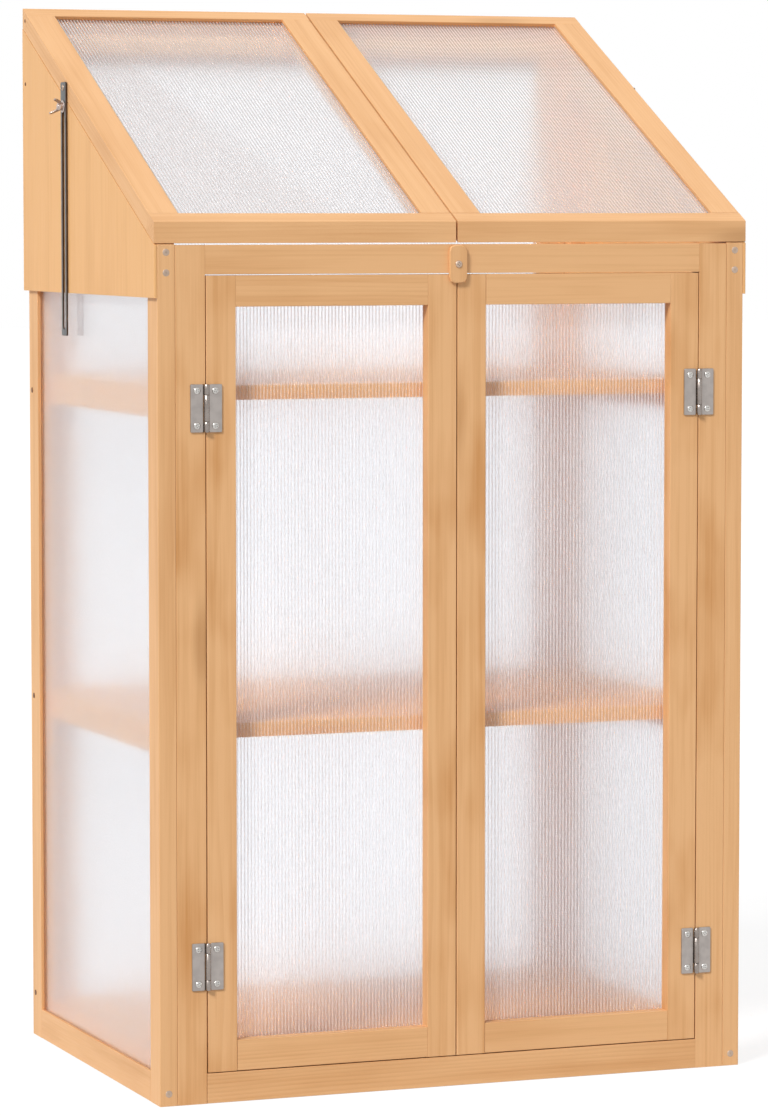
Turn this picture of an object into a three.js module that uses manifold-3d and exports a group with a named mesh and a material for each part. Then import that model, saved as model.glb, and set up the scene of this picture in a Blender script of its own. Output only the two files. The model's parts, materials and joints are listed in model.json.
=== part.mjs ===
import * as THREE from 'three';
import { mergeVertices } from 'three/addons/utils/BufferGeometryUtils.js';
import Module from 'manifold-3d';

// Wooden mini greenhouse: a glazed cabinet with two doors, three shelves and two roof lids.
// Millimetres. X runs to the right, Y from the front face to the back, Z up from the ground.

// Cabinet
const outerWidth = 700;
const frameDepth = 480;
const eavesHeight = 934.7;
const roofPitch = THREE.MathUtils.degToRad(26.81);

// Timber battens
const battenWidth = 33.7;
const battenThickness = 20;
const doorSillHeight = 33;
const headerHeight = 31.7;

// Clearances
const seam = 0.2;
const glueBite = 1;
const doorGap = 1.2;
const lidGap = 1.2;
const sheetFit = 0.3;
const boltFit = 0.4;
const cutOverrun = 5;

// Twin-wall sheets
const sheetThickness = 4;
const sheetLap = 5;
const sideSheetRecess = 4;

// Side boards, which cover the upper part of each side frame
const sideBoardThickness = 3.5;
const sideBoardOverhang = 2;
const sideBoardDrop = 56.7;
const boardOverhang = 1.5;

// Back frame and the rail that the lids hinge on
const backTopRailHeight = 15;
const hingeRailThickness = 8;
const hingeRailHeight = 38;

// Roof lids
const lidThickness = 21;
const lidRailWidth = 20;
const lidFrontSetback = 0.8;
const lidMeetingGap = 2.2;
const lidSheetDrop = 4.5;
const lidSheetLap = 4;

// Shelves: the top face of the lowest, and how far the highest is below the eaves
const floorShelfTop = 45;
const upperShelfDrop = 152.2;
const shelfThickness = 16;
const shelfPlay = 1.2;
const cleatSize = 20;

// Butt hinges
const hingeLength = 52;
const leafReach = 18;
const leafThickness = 1.6;
const knuckleRadius = 3;
const knuckleGap = 0.3;
const hingePinRadius = 1.5;
const hingePinFit = 0.25;
const leafNotch = 0.6;
const hingeScrewInset = 7;
const hingeScrewReach = 10.5;
const lowerHingeHeights = { left: 151, right: 135 };
const upperHingeDrops = { left: 175.7, right: 166.2 };
const lidHingeLength = 240;

// Screws
const hingeScrew = { headRadius: 3.8, headHeight: 1.7, shankRadius: 1.6, length: 9 };
const buttonScrew = { headRadius: 4.2, headHeight: 2, shankRadius: 2.1, length: 18 };

// Turn button
const buttonWidth = 20.8;
const buttonLength = 42;
const buttonThickness = 4.2;
const buttonCorner = 6;
const buttonPivotDrop = 21.8;
const buttonPlay = 0.4;

// Lid stays
const stayLength = 287;
const stayWidth = 18;
const stayThickness = 2;
const staySlotWidth = 5.4;
const staySlotMargin = 7;
const stayTopMargin = 9;
const stayStandoff = 0.6;
const stayDepthPlace = 321;
const clampDrop = 8;
const clampBolt = { headRadius: 5.5, headHeight: 2.5, shankRadius: 2.4, tail: 7 };
const washer = { radius: 7, thickness: 1 };
const wingNut = { hubRadius: 4.6, hubLength: 5, wingSpan: 12, wingRise: 9, wingRoot: 4, wingThickness: 1.8 };
const pivotScrew = { headRadius: 5, headHeight: 2, shankRadius: 2.2 };

// Sides of round pieces
const holeSides = 8;
const screwSides = 8;
const knuckleSides = 10;
const boltSides = 12;
const cornerSteps = 3;
const stayEndSteps = 6;

// Places worked out from the sizes above
const frameHalf = outerWidth / 2 - sideBoardThickness;
const innerHalf = frameHalf - battenThickness;
const jambOuter = innerHalf - seam;
const jambInner = jambOuter - battenWidth;
const doorOuter = jambInner - doorGap;
const doorInner = doorGap / 2;
const lidInner = lidMeetingGap / 2;
const doorBottom = doorSillHeight + doorGap;
const headerBottom = eavesHeight - headerHeight;
const doorTop = headerBottom - doorGap;
const sideBoardBottom = eavesHeight - sideBoardDrop;
const upperShelfTop = eavesHeight - upperShelfDrop;
const middleShelfTop = (floorShelfTop + upperShelfTop) / 2;
const shelfTops = { floor: floorShelfTop, middle: middleShelfTop, upper: upperShelfTop };
const doorHingeHeights = (label) => [lowerHingeHeights[label], eavesHeight - upperHingeDrops[label]];
const buttonPivotHeight = eavesHeight - buttonPivotDrop;
const pitchRise = Math.tan(roofPitch);
const roofBack = frameDepth + hingeRailThickness;
const sideBoardDepth = roofBack + sideBoardOverhang;
const lidVertical = lidThickness / Math.cos(roofPitch);
const frameTop = (y) => eavesHeight + y * pitchRise;
const lidUnderside = (y) => frameTop(y) + lidGap;
const backOpeningTop = frameTop(frameDepth - battenThickness) - backTopRailHeight;

const wasm = await Module();
wasm.setup();

const materials = {
  timber: new THREE.MeshStandardMaterial({ color: 0xe2b27c, roughness: 0.6 }),
  board: new THREE.MeshStandardMaterial({ color: 0xeebb80, roughness: 0.6 }),
  sheet: new THREE.MeshStandardMaterial({ color: 0xf0eef2, roughness: 0.35, transparent: true, opacity: 0.5 }),
  hinge: new THREE.MeshStandardMaterial({ color: 0xb0a8a2, roughness: 0.35, metalness: 1 }),
  stay: new THREE.MeshStandardMaterial({ color: 0x4c4844, roughness: 0.4, metalness: 1 }),
};

// Solids: closed geometry with position only, so that it can be cut and joined
function bare(geometry) {
  geometry.deleteAttribute('normal');
  geometry.deleteAttribute('uv');
  return mergeVertices(geometry);
}

function toManifold(geometry) {
  const merged = bare(geometry.clone());
  const vertProperties = new Float32Array(merged.attributes.position.array);
  const triVerts = new Uint32Array(merged.index.array);
  return new wasm.Manifold(new wasm.Mesh({ numProp: 3, vertProperties, triVerts }));
}

function fromManifold(solid) {
  const mesh = solid.getMesh();
  const geometry = new THREE.BufferGeometry();
  geometry.setAttribute('position', new THREE.BufferAttribute(mesh.vertProperties, 3));
  geometry.setIndex(new THREE.BufferAttribute(mesh.triVerts, 1));
  return geometry;
}

function cut(geometry, ...tools) {
  return fromManifold(tools.reduce((rest, tool) => rest.subtract(toManifold(tool)), toManifold(geometry)));
}

function join(first, ...others) {
  return fromManifold(others.reduce((sum, other) => sum.add(toManifold(other)), toManifold(first)));
}

// A box between two corners
function block(x, y, z) {
  const [width, depth, height] = [x, y, z].map(([low, high]) => Math.abs(high - low));
  const [midX, midY, midZ] = [x, y, z].map(([low, high]) => (low + high) / 2);
  return new THREE.BoxGeometry(width, depth, height).translate(midX, midY, midZ);
}

// Grows a box's limits by a clearance on both ends
const wider = ([low, high], by) => [low - by, high + by];

function extrude(outline, depth) {
  const points = (list) => list.map(([a, b]) => new THREE.Vector2(a, b));
  const shape = outline instanceof THREE.Shape ? outline : new THREE.Shape(points(outline));
  return new THREE.ExtrudeGeometry(shape, { depth, bevelEnabled: false, curveSegments: stayEndSteps });
}

// An outline in (y, z), extruded between two places along X
function alongX(outline, [from, to]) {
  const low = Math.min(from, to);
  const axes = new THREE.Matrix4().makeBasis(
    new THREE.Vector3(0, 1, 0), new THREE.Vector3(0, 0, 1), new THREE.Vector3(1, 0, 0));
  return extrude(outline, Math.abs(to - from)).applyMatrix4(axes).translate(low, 0, 0);
}

// A round bar of a given number of sides between two places on an axis through (a, b)
function rod(axis, radius, sides, [from, to], a, b) {
  const bar = new THREE.CylinderGeometry(radius, radius, Math.abs(to - from), sides);
  const middle = (from + to) / 2;
  if (axis === 'x') return bar.rotateZ(Math.PI / 2).translate(middle, a, b);
  if (axis === 'y') return bar.translate(a, middle, b);
  return bar.rotateX(Math.PI / 2).translate(a, b, middle);
}

// A screw along Z, its head's underside at the origin and its point below
function screw({ headRadius, headHeight, shankRadius, length }, underHead) {
  const point = shankRadius;
  const headShares = [[1, 0], [1, 0.35], [0.72, 0.8], [0.3, 1]];
  const profile = [
    new THREE.Vector2(0, -length),
    new THREE.Vector2(shankRadius, point - length),
    new THREE.Vector2(shankRadius, underHead),
    ...headShares.map(([out, up]) => new THREE.Vector2(headRadius * out, underHead + headHeight * up)),
    new THREE.Vector2(0, underHead + headHeight),
  ];
  return new THREE.LatheGeometry(profile, screwSides).rotateX(Math.PI / 2);
}

// Turns a piece whose outside is +Z so that its outside faces the front
const facingFront = (geometry) => geometry.rotateX(Math.PI / 2);

const pilotRadius = (shankRadius) => shankRadius + boltFit;

function mesh(name, material, geometry) {
  const made = new THREE.Mesh(bare(geometry), materials[material]);
  made.name = name;
  return made;
}

function group(...children) {
  const made = new THREE.Group();
  made.add(...children);
  return made;
}

// Butt hinge in its own frame: the pin along Z, leaves out along X, the wood behind at +Y
const pinStandoff = knuckleRadius + seam;
const knuckleShares = [0, 0.22, 0.78, 1];
const hingeScrewShares = { door: [-1, 1], lid: [-1, 0, 1] };

function knuckle(length, index) {
  const low = length * (knuckleShares[index] - 1 / 2) + knuckleGap / 2;
  const high = length * (knuckleShares[index + 1] - 1 / 2) - knuckleGap / 2;
  return [low, high];
}

function screwPlaces(length, shares) {
  return shares.map((share) => share * (length / 2 - hingeScrewInset));
}

// A leaf that reaches out to one side with its screws in it, and holds every other knuckle
function leaf(side, firstKnuckle, length, shares) {
  const back = knuckleRadius;
  const front = back - leafThickness;
  const notch = knuckleRadius + leafNotch;
  const plate = block([side * notch, side * leafReach], [front, back], [-length / 2, length / 2]);
  const parts = screwPlaces(length, shares).map((along) =>
    facingFront(screw(hingeScrew, leafThickness)).translate(side * hingeScrewReach, back, along));
  for (let index = firstKnuckle; index < knuckleShares.length - 1; index += 2) {
    const span = knuckle(length, index);
    parts.push(rod('z', knuckleRadius, knuckleSides, span, 0, 0));
    parts.push(block([0, side * (notch + leafNotch)], [front, back - leafNotch], span));
  }
  return join(plate, ...parts);
}

// The leaf on the cabinet carries the pin, and the leaf that moves turns on it
function frameLeaf(length, shares) {
  const pin = rod('z', hingePinRadius, knuckleSides, [-length / 2, length / 2], 0, 0);
  return join(leaf(-1, 0, length, shares), pin);
}

function movingLeaf(length, shares) {
  const span = wider([-length / 2, length / 2], cutOverrun);
  const bore = rod('z', hingePinRadius + hingePinFit, holeSides, span, 0, 0);
  return cut(leaf(1, 1, length, shares), bore);
}

// Where each hinge stands: its own X, Y and Z directions and its pin's middle
const xAxis = new THREE.Vector3(1, 0, 0);
const yAxis = new THREE.Vector3(0, 1, 0);
const zAxis = new THREE.Vector3(0, 0, 1);
const hingeX = jambInner - doorGap / 2;
const lidHingeZ = (frameTop(roofBack) + lidUnderside(roofBack)) / 2;
const lidMiddle = outerWidth / 4;

function doorHinges(side, label) {
  const right = xAxis.clone().multiplyScalar(-side);
  const up = zAxis.clone().multiplyScalar(-side);
  return ['lower', 'upper'].map((level, index) => ({
    name: `${label}_door_${level}_hinge`,
    length: hingeLength,
    shares: hingeScrewShares.door,
    frame: new THREE.Matrix4().makeBasis(right, yAxis, up)
      .setPosition(side * hingeX, -pinStandoff, doorHingeHeights(label)[index]),
  }));
}

function lidHinge(side, label) {
  return [{
    name: `${label}_lid_hinge`,
    length: lidHingeLength,
    shares: hingeScrewShares.lid,
    frame: new THREE.Matrix4().makeBasis(zAxis, yAxis.clone().negate(), xAxis)
      .setPosition(side * lidMiddle, roofBack + pinStandoff, lidHingeZ),
  }];
}

const hinges = {
  leftDoor: doorHinges(-1, 'left'), rightDoor: doorHinges(1, 'right'),
  leftLid: lidHinge(-1, 'left'), rightLid: lidHinge(1, 'right'),
};

const frameLeaves = (set) => hinges[set].map(({ name, length, shares, frame }) =>
  mesh(`${name}_frame_leaf`, 'hinge', frameLeaf(length, shares).applyMatrix4(frame)));
const movingLeaves = (set) => hinges[set].map(({ name, length, shares, frame }) =>
  mesh(`${name}_moving_leaf`, 'hinge', movingLeaf(length, shares).applyMatrix4(frame)));

// Holes in the wood for the screws of one side's leaves
function screwHoles(set, side) {
  return hinges[set].flatMap(({ length, shares, frame }) => screwPlaces(length, shares).map((along) =>
    rod('y', pilotRadius(hingeScrew.shankRadius), holeSides, [0, knuckleRadius + hingeScrew.length + boltFit],
      side * hingeScrewReach, along).applyMatrix4(frame)));
}

// Side frames
const rearFrom = frameDepth - battenWidth;
const middleRailBottom = sideBoardBottom + boardOverhang;
const sidePieceSpan = [battenWidth + seam, rearFrom - seam];
const clampHeight = frameTop(stayDepthPlace) - clampDrop;
const stayPivotHeight = lidUnderside(stayDepthPlace) + lidVertical / 2;

function sideSheetBox(side, by) {
  const outer = frameHalf - sideSheetRecess;
  return block(
    wider([side * (outer - sheetThickness), side * outer].sort((a, b) => a - b), by),
    wider([battenWidth - sheetLap, rearFrom + sheetLap], by),
    wider([battenWidth - sheetLap, middleRailBottom + sheetLap], by));
}

function clampHole(side) {
  return rod('x', pilotRadius(clampBolt.shankRadius), holeSides,
    [side * (innerHalf - cutOverrun), side * (outerWidth / 2 + cutOverrun)], stayDepthPlace, clampHeight);
}

function slopedTop(from, to, bottom) {
  return [[from, bottom], [to, bottom], [to, frameTop(to)], [from, frameTop(from)]];
}

// The upper board with the two battens glued behind it, one along the roof and one over the sheet
function sidePanel(side, groove) {
  const x = [side * innerHalf, side * (frameHalf + seam + glueBite)];
  const rafterDrop = battenWidth / Math.cos(roofPitch);
  const [railFrom, railTo] = sidePieceSpan;
  const rafter = alongX([
    [railFrom, frameTop(railFrom) - rafterDrop],
    [railTo, frameTop(railTo) - rafterDrop],
    [railTo, frameTop(railTo)],
    [railFrom, frameTop(railFrom)],
  ], x);
  const middleRail = block(x, sidePieceSpan, [middleRailBottom, middleRailBottom + battenWidth]);
  const boardX = [side * (frameHalf + seam), side * outerWidth / 2];
  const board = alongX(slopedTop(0, sideBoardDepth, sideBoardBottom), boardX);
  return cut(join(board, rafter, cut(middleRail, groove)), clampHole(side));
}

function sideFrame(side, label) {
  const x = [side * innerHalf, side * frameHalf];
  const groove = () => sideSheetBox(side, sheetFit);
  return [
    mesh(`${label}_front_post`, 'timber', cut(alongX(slopedTop(0, battenWidth, 0), x), groove())),
    mesh(`${label}_rear_post`, 'timber', cut(alongX(slopedTop(rearFrom, frameDepth, 0), x), groove())),
    mesh(`${label}_bottom_rail`, 'timber', cut(block(x, sidePieceSpan, [0, battenWidth]), groove())),
    mesh(`${label}_side_sheet`, 'sheet', sideSheetBox(side, 0)),
    mesh(`${label}_side_panel`, 'board', sidePanel(side, groove())),
  ];
}

// Front frame, which the doors hang in
function jamb(side, label) {
  const set = side < 0 ? 'leftDoor' : 'rightDoor';
  const post = block([side * jambInner, side * jambOuter], [0, battenThickness], [0, eavesHeight]);
  return mesh(`${label}_jamb`, 'timber', cut(post, ...screwHoles(set, -1)));
}

function frontFrame() {
  const x = [seam - jambInner, jambInner - seam];
  const header = block(x, [0, battenThickness], [headerBottom, eavesHeight]);
  const buttonPilot = rod('y', pilotRadius(buttonScrew.shankRadius), holeSides,
    [-cutOverrun, buttonScrew.length - buttonThickness], 0, buttonPivotHeight);
  return [
    jamb(-1, 'left'),
    jamb(1, 'right'),
    mesh('front_header', 'timber', cut(header, buttonPilot)),
    mesh('front_bottom_rail', 'timber', block(x, [0, battenThickness], [0, doorSillHeight])),
  ];
}

// Back frame, with its sheet in a groove
function backFrame() {
  const y = [frameDepth - battenThickness, frameDepth];
  const openingHalf = jambInner;
  const sheetOuter = frameDepth - sideSheetRecess;
  const sheetBox = (by) => block(
    wider([-openingHalf - sheetLap, openingHalf + sheetLap], by),
    wider([sheetOuter - sheetThickness, sheetOuter], by),
    wider([battenWidth - sheetLap, backOpeningTop + sheetLap], by));
  const stileX = (side) => [side * jambInner, side * jambOuter];
  const stile = (side) => cut(alongX(slopedTop(...y, 0), stileX(side)), sheetBox(sheetFit));
  const railX = [seam - openingHalf, openingHalf - seam];
  const bottomRail = cut(block(railX, y, [0, battenWidth]), sheetBox(sheetFit));
  const ledgerBottom = frameTop(frameDepth) - hingeRailHeight;
  const ledger = alongX(slopedTop(frameDepth + seam, roofBack, ledgerBottom), [-frameHalf, frameHalf]);
  const bridge = alongX(slopedTop(frameDepth - glueBite, frameDepth + seam + glueBite, backOpeningTop), railX);
  const rail = alongX(slopedTop(...y, backOpeningTop), railX);
  const topRail = cut(join(ledger, bridge, rail), sheetBox(sheetFit),
    ...screwHoles('leftLid', -1), ...screwHoles('rightLid', -1));
  return [
    mesh('left_back_stile', 'timber', stile(-1)),
    mesh('right_back_stile', 'timber', stile(1)),
    mesh('back_top_rail', 'timber', topRail),
    mesh('back_bottom_rail', 'timber', bottomRail),
    mesh('back_sheet', 'sheet', sheetBox(0)),
  ];
}

// Shelves, each with a batten glued under both ends, by which it is screwed to the posts
function shelves() {
  const half = innerHalf - shelfPlay;
  const y = [battenThickness + shelfPlay, frameDepth - battenThickness - shelfPlay];
  return Object.entries(shelfTops).map(([name, top]) => {
    const bottom = top - shelfThickness;
    const board = block([-half, half], y, [bottom, top]);
    const battens = [-1, 1].map((side) =>
      block([side * (jambOuter - cleatSize), side * jambOuter], y, [bottom - cleatSize, bottom + glueBite]));
    return mesh(`${name}_shelf`, 'timber', join(board, ...battens));
  });
}

// A door: four members with the sheet in a rebate at the back
function door(side, label) {
  const set = side < 0 ? 'leftDoor' : 'rightDoor';
  const y = [0, battenThickness];
  const z = [doorBottom, doorTop];
  const stileInner = doorOuter - battenWidth;
  const meetingEdge = doorInner + battenWidth;
  const railX = [side * (meetingEdge + seam), side * (stileInner - seam)];
  const sheetBox = (by, out) => block(
    wider([side * (meetingEdge - sheetLap), side * (stileInner + sheetLap)].sort((a, b) => a - b), by),
    [battenThickness - sheetThickness - by, battenThickness + out],
    wider([doorBottom + battenWidth - sheetLap, doorTop - battenWidth + sheetLap], by));
  const rebate = () => sheetBox(sheetFit, cutOverrun);
  const topRail = block(railX, y, [doorTop - battenWidth, doorTop]);
  const bottomRail = block(railX, y, [doorBottom, doorBottom + battenWidth]);
  const hingeStile = block([side * stileInner, side * doorOuter], y, z);
  const meetingStile = block([side * doorInner, side * meetingEdge], y, z);
  return [
    mesh(`${label}_door_hinge_stile`, 'timber', cut(hingeStile, rebate(), ...screwHoles(set, 1))),
    mesh(`${label}_door_meeting_stile`, 'timber', cut(meetingStile, rebate())),
    mesh(`${label}_door_top_rail`, 'timber', cut(topRail, rebate())),
    mesh(`${label}_door_bottom_rail`, 'timber', cut(bottomRail, rebate())),
    mesh(`${label}_door_sheet`, 'sheet', sheetBox(0, 0)),
    ...movingLeaves(set),
  ];
}

// Place on a lid: along the slope from its lower front edge, then out of its underside
function onLid([along, out]) {
  const y = lidFrontSetback + along * Math.cos(roofPitch) - out * Math.sin(roofPitch);
  const z = lidUnderside(lidFrontSetback) + along * Math.sin(roofPitch) + out * Math.cos(roofPitch);
  return [y, z];
}

// A lid: its ends are cut upright, the stiles stand between the rails, and the sheet lies in a groove
function lid(side, label) {
  const set = side < 0 ? 'leftLid' : 'rightLid';
  const lean = lidThickness * pitchRise;
  const run = (roofBack - lidFrontSetback) / Math.cos(roofPitch);
  const frontInner = lean + lidRailWidth;
  const backInner = run + lean - lidRailWidth;
  const outer = outerWidth / 2;
  const opening = [lidInner + battenWidth, outer - battenWidth];
  const outerX = [side * opening[1], side * outer];
  const innerX = [side * lidInner, side * opening[0]];
  const railX = [side * lidInner, side * outer];
  const prism = (points, x) => alongX(points.map(onLid), x);
  const slab = ([from, to], [low, high], x) => prism([[from, low], [to, low], [to, high], [from, high]], x);
  const stile = (x) => slab([frontInner + seam, backInner - seam], [0, lidThickness], x);
  const sheetTop = lidThickness - lidSheetDrop;
  const sheetBox = (by) => slab(
    wider([frontInner - lidSheetLap, backInner + lidSheetLap], by),
    wider([sheetTop - sheetThickness, sheetTop], by),
    wider([opening[0] - lidSheetLap, opening[1] + lidSheetLap], by).map((place) => side * place));
  const groove = () => sheetBox(sheetFit);
  const frontShape = [[0, 0], [frontInner, 0], [frontInner, lidThickness], [lean, lidThickness]];
  const backShape = [[backInner, 0], [run, 0], [run + lean, lidThickness], [backInner, lidThickness]];
  const frontRail = prism(frontShape, railX);
  const backRail = prism(backShape, railX);
  return [
    mesh(`${label}_lid_outer_stile`, 'timber', cut(stile(outerX), groove())),
    mesh(`${label}_lid_inner_stile`, 'timber', cut(stile(innerX), groove())),
    mesh(`${label}_lid_front_rail`, 'timber', cut(frontRail, groove())),
    mesh(`${label}_lid_back_rail`, 'timber', cut(backRail, groove(), ...screwHoles(set, 1))),
    mesh(`${label}_lid_sheet`, 'sheet', sheetBox(0)),
    ...movingLeaves(set),
  ];
}

// Turn button over the doors' meeting line
function turnButton() {
  const [halfWidth, halfLength] = [buttonWidth / 2, buttonLength / 2];
  const corners = [[1, 1, 0], [-1, 1, 1], [-1, -1, 2], [1, -1, 3]];
  const steps = Array.from({ length: cornerSteps + 1 }, (_, step) => step / cornerSteps);
  const outline = corners.flatMap(([right, up, quarter]) => steps.map((step) => {
    const angle = (quarter + step) * Math.PI / 2;
    return [
      right * (halfWidth - buttonCorner) + buttonCorner * Math.cos(angle),
      up * (halfLength - buttonCorner) + buttonCorner * Math.sin(angle),
    ];
  }));
  const body = facingFront(extrude(outline, buttonThickness)).translate(0, -buttonPlay, buttonPivotHeight);
  const hole = rod('y', pilotRadius(buttonScrew.shankRadius), holeSides,
    [cutOverrun, -buttonThickness - cutOverrun], 0, buttonPivotHeight);
  return mesh('turn_button', 'timber', cut(body, hole));
}

function turnButtonScrew() {
  const front = -buttonPlay * 2 - buttonThickness;
  const shank = { ...buttonScrew, length: buttonScrew.length - buttonThickness };
  const piece = facingFront(screw(shank, -front)).translate(0, 0, buttonPivotHeight);
  return mesh('turn_button_screw', 'hinge', piece);
}

// Lid stay: a slotted bar on the lid that slides through a wing-nut clamp on the side board
const stayX = outerWidth / 2 + stayStandoff;
const stayTop = stayPivotHeight + stayTopMargin;
const slotTop = clampHeight + staySlotWidth / 2;
const slotBottom = stayTop - stayLength + staySlotMargin;

function capsule(low, high, width) {
  const radius = width / 2;
  const shape = new THREE.Shape();
  shape.absarc(stayDepthPlace, high - radius, radius, 0, Math.PI);
  shape.absarc(stayDepthPlace, low + radius, radius, Math.PI, Math.PI * 2);
  shape.closePath();
  return shape;
}

function stayBar(side, label) {
  const x = [side * stayX, side * (stayX + stayThickness)];
  const through = wider([stayX, stayX + stayThickness], cutOverrun).map((place) => side * place);
  const bar = alongX(capsule(stayTop - stayLength, stayTop, stayWidth), x);
  const slot = alongX(capsule(slotBottom, slotTop, staySlotWidth), through);
  const headTo = side * (stayX + stayThickness + pivotScrew.headHeight);
  const at = (radius, from) => rod('x', radius, boltSides, [side * from, headTo], stayDepthPlace, stayPivotHeight);
  const head = at(pivotScrew.headRadius, stayX);
  const shank = at(pivotScrew.shankRadius, outerWidth / 2 + seam);
  return mesh(`${label}_stay_bar`, 'stay', join(cut(bar, slot), head, shank));
}

// Bolt, washer and wing nut as one tightened clamp, with the bolt's head inside the cabinet
function stayClamp(side, label) {
  const inner = innerHalf - seam;
  const washerFrom = stayX + stayThickness + seam;
  const nutFrom = washerFrom + washer.thickness;
  const nutTo = nutFrom + wingNut.hubLength;
  const at = (radius, from, to) =>
    rod('x', radius, boltSides, [side * from, side * to], stayDepthPlace, clampHeight);
  const wingTip = nutFrom + wingNut.wingRise;
  const wing = (up) => {
    const outline = [
      [0, nutFrom], [wingNut.wingRoot, nutFrom], [wingNut.wingSpan, nutTo], [wingNut.wingSpan, wingTip],
      [wingNut.wingRoot + wingNut.hubRadius, wingTip], [wingNut.wingRoot, nutTo], [0, nutTo],
    ];
    const flat = extrude(outline, wingNut.wingThickness).translate(0, 0, -wingNut.wingThickness / 2);
    const upright = new THREE.Vector3(0, 0, up);
    const outward = xAxis.clone().multiplyScalar(side);
    const axes = new THREE.Matrix4().makeBasis(upright, outward, upright.clone().cross(outward));
    return flat.applyMatrix4(axes).translate(0, stayDepthPlace, clampHeight);
  };
  return mesh(`${label}_stay_clamp`, 'hinge', join(
    at(clampBolt.headRadius, inner - clampBolt.headHeight, inner),
    at(clampBolt.shankRadius, inner - clampBolt.headHeight, washerFrom + clampBolt.tail),
    at(washer.radius, washerFrom, nutFrom),
    at(wingNut.hubRadius, washerFrom, nutTo),
    wing(1),
    wing(-1)));
}

const cabinet = group(
  ...sideFrame(-1, 'left'), ...sideFrame(1, 'right'), ...frontFrame(), ...backFrame(), ...shelves(),
  ...Object.keys(hinges).flatMap(frameLeaves),
  turnButtonScrew());

const greenhouse = group(
  cabinet,
  group(...door(-1, 'left')), group(...door(1, 'right')),
  group(...lid(-1, 'left')), group(...lid(1, 'right')),
  group(turnButton()),
  group(stayBar(-1, 'left')), group(stayBar(1, 'right')),
  group(stayClamp(-1, 'left')), group(stayClamp(1, 'right')));

// The origin is on the ground, midway between the foremost piece and the rearmost knuckle
const buttonFront = buttonPlay * 2 + buttonThickness + buttonScrew.headHeight;
const foremost = -Math.max(buttonFront, pinStandoff + knuckleRadius);
const rearmost = roofBack + pinStandoff + knuckleRadius;
greenhouse.position.y = -(foremost + rearmost) / 2;

export default greenhouse;
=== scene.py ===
"""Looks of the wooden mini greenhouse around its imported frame.

Lengths are in millimetres unless a name says otherwise.
"""

import json
import math
import random

import bmesh
import bpy
from mathutils import Matrix, Vector


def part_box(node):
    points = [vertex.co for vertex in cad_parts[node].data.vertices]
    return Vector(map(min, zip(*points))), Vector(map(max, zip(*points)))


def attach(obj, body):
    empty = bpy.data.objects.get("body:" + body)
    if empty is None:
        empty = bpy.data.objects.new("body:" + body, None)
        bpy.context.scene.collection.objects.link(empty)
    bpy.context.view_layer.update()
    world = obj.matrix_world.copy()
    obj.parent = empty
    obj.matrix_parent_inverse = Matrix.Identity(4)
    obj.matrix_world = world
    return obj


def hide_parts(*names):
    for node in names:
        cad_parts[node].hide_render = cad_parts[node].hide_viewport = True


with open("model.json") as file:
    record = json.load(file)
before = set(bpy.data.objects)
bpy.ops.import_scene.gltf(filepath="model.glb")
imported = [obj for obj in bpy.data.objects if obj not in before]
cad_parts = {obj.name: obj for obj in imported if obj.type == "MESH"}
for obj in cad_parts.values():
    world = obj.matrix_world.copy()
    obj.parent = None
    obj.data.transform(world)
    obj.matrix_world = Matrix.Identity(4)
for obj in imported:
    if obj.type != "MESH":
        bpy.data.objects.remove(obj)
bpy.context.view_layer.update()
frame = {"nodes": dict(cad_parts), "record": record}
nodes = frame["nodes"]
bodies = frame["record"]["behaviour"]["bodies"]
body_of = {name: body for body, names in bodies.items() for name in names}

MM = 0.001
FRONT_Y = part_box("left_jamb")[0].y / MM
ROOF_PITCH = math.radians(26.81)
UP_SLOPE = Vector((0, math.cos(ROOF_PITCH), math.sin(ROOF_PITCH)))
X, Y, Z = Vector((1, 0, 0)), Vector((0, 1, 0)), Vector((0, 0, 1))
SIDES = {"left": -1, "right": 1}


def place(x, y, z):
    """A point given from the front face, the middle and the ground, in metres in the row frame."""
    return Vector((x, y + FRONT_Y, z)) * MM


# Node trees

def add_node(tree, kind, inputs=None, **settings):
    made = tree.nodes.new(kind)
    for key, value in settings.items():
        setattr(made, key, value)
    for socket, value in (inputs or {}).items():
        if isinstance(value, bpy.types.NodeSocket):
            tree.links.new(value, made.inputs[socket])
        else:
            made.inputs[socket].default_value = value
    return made


def new_material(name):
    material = bpy.data.materials.new(name)
    material.use_nodes = True
    material.node_tree.nodes.clear()
    return material, material.node_tree


def show(tree, shader):
    add_node(tree, "ShaderNodeOutputMaterial", {"Surface": shader})


def math_node(tree, operation, *values):
    return add_node(tree, "ShaderNodeMath", dict(enumerate(values)), operation=operation).outputs[0]


def vector_math(tree, operation, *vectors):
    return add_node(tree, "ShaderNodeVectorMath", dict(enumerate(vectors)), operation=operation)


def scaled(tree, vector, by):
    return vector_math(tree, "MULTIPLY", vector, by).outputs[0]


def noise(tree, vector, detail, roughness=0.5):
    return add_node(tree, "ShaderNodeTexNoise",
                    {"Vector": vector, "Scale": 1.0, "Detail": detail, "Roughness": roughness})


def smooth_range(tree, value, low, high, to_low=0.0, to_high=1.0):
    inputs = {"Value": value, "From Min": low, "From Max": high, "To Min": to_low, "To Max": to_high}
    return add_node(tree, "ShaderNodeMapRange", inputs, interpolation_type="SMOOTHSTEP").outputs[0]


COLOUR_MIX_INPUTS = (0, 6, 7)
COLOUR_MIX_OUTPUT = 2


def mixed(tree, *share_and_colours):
    inputs = dict(zip(COLOUR_MIX_INPUTS, share_and_colours))
    return add_node(tree, "ShaderNodeMix", inputs, data_type="RGBA").outputs[COLOUR_MIX_OUTPUT]


def shaded(*colour):
    return (*colour, 1.0)


# Wood, drawn in each member's own grain: the "grain" attribute is its place along and across the log.
# Scales are per metre, and ranges say where a pattern starts and is full.

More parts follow.
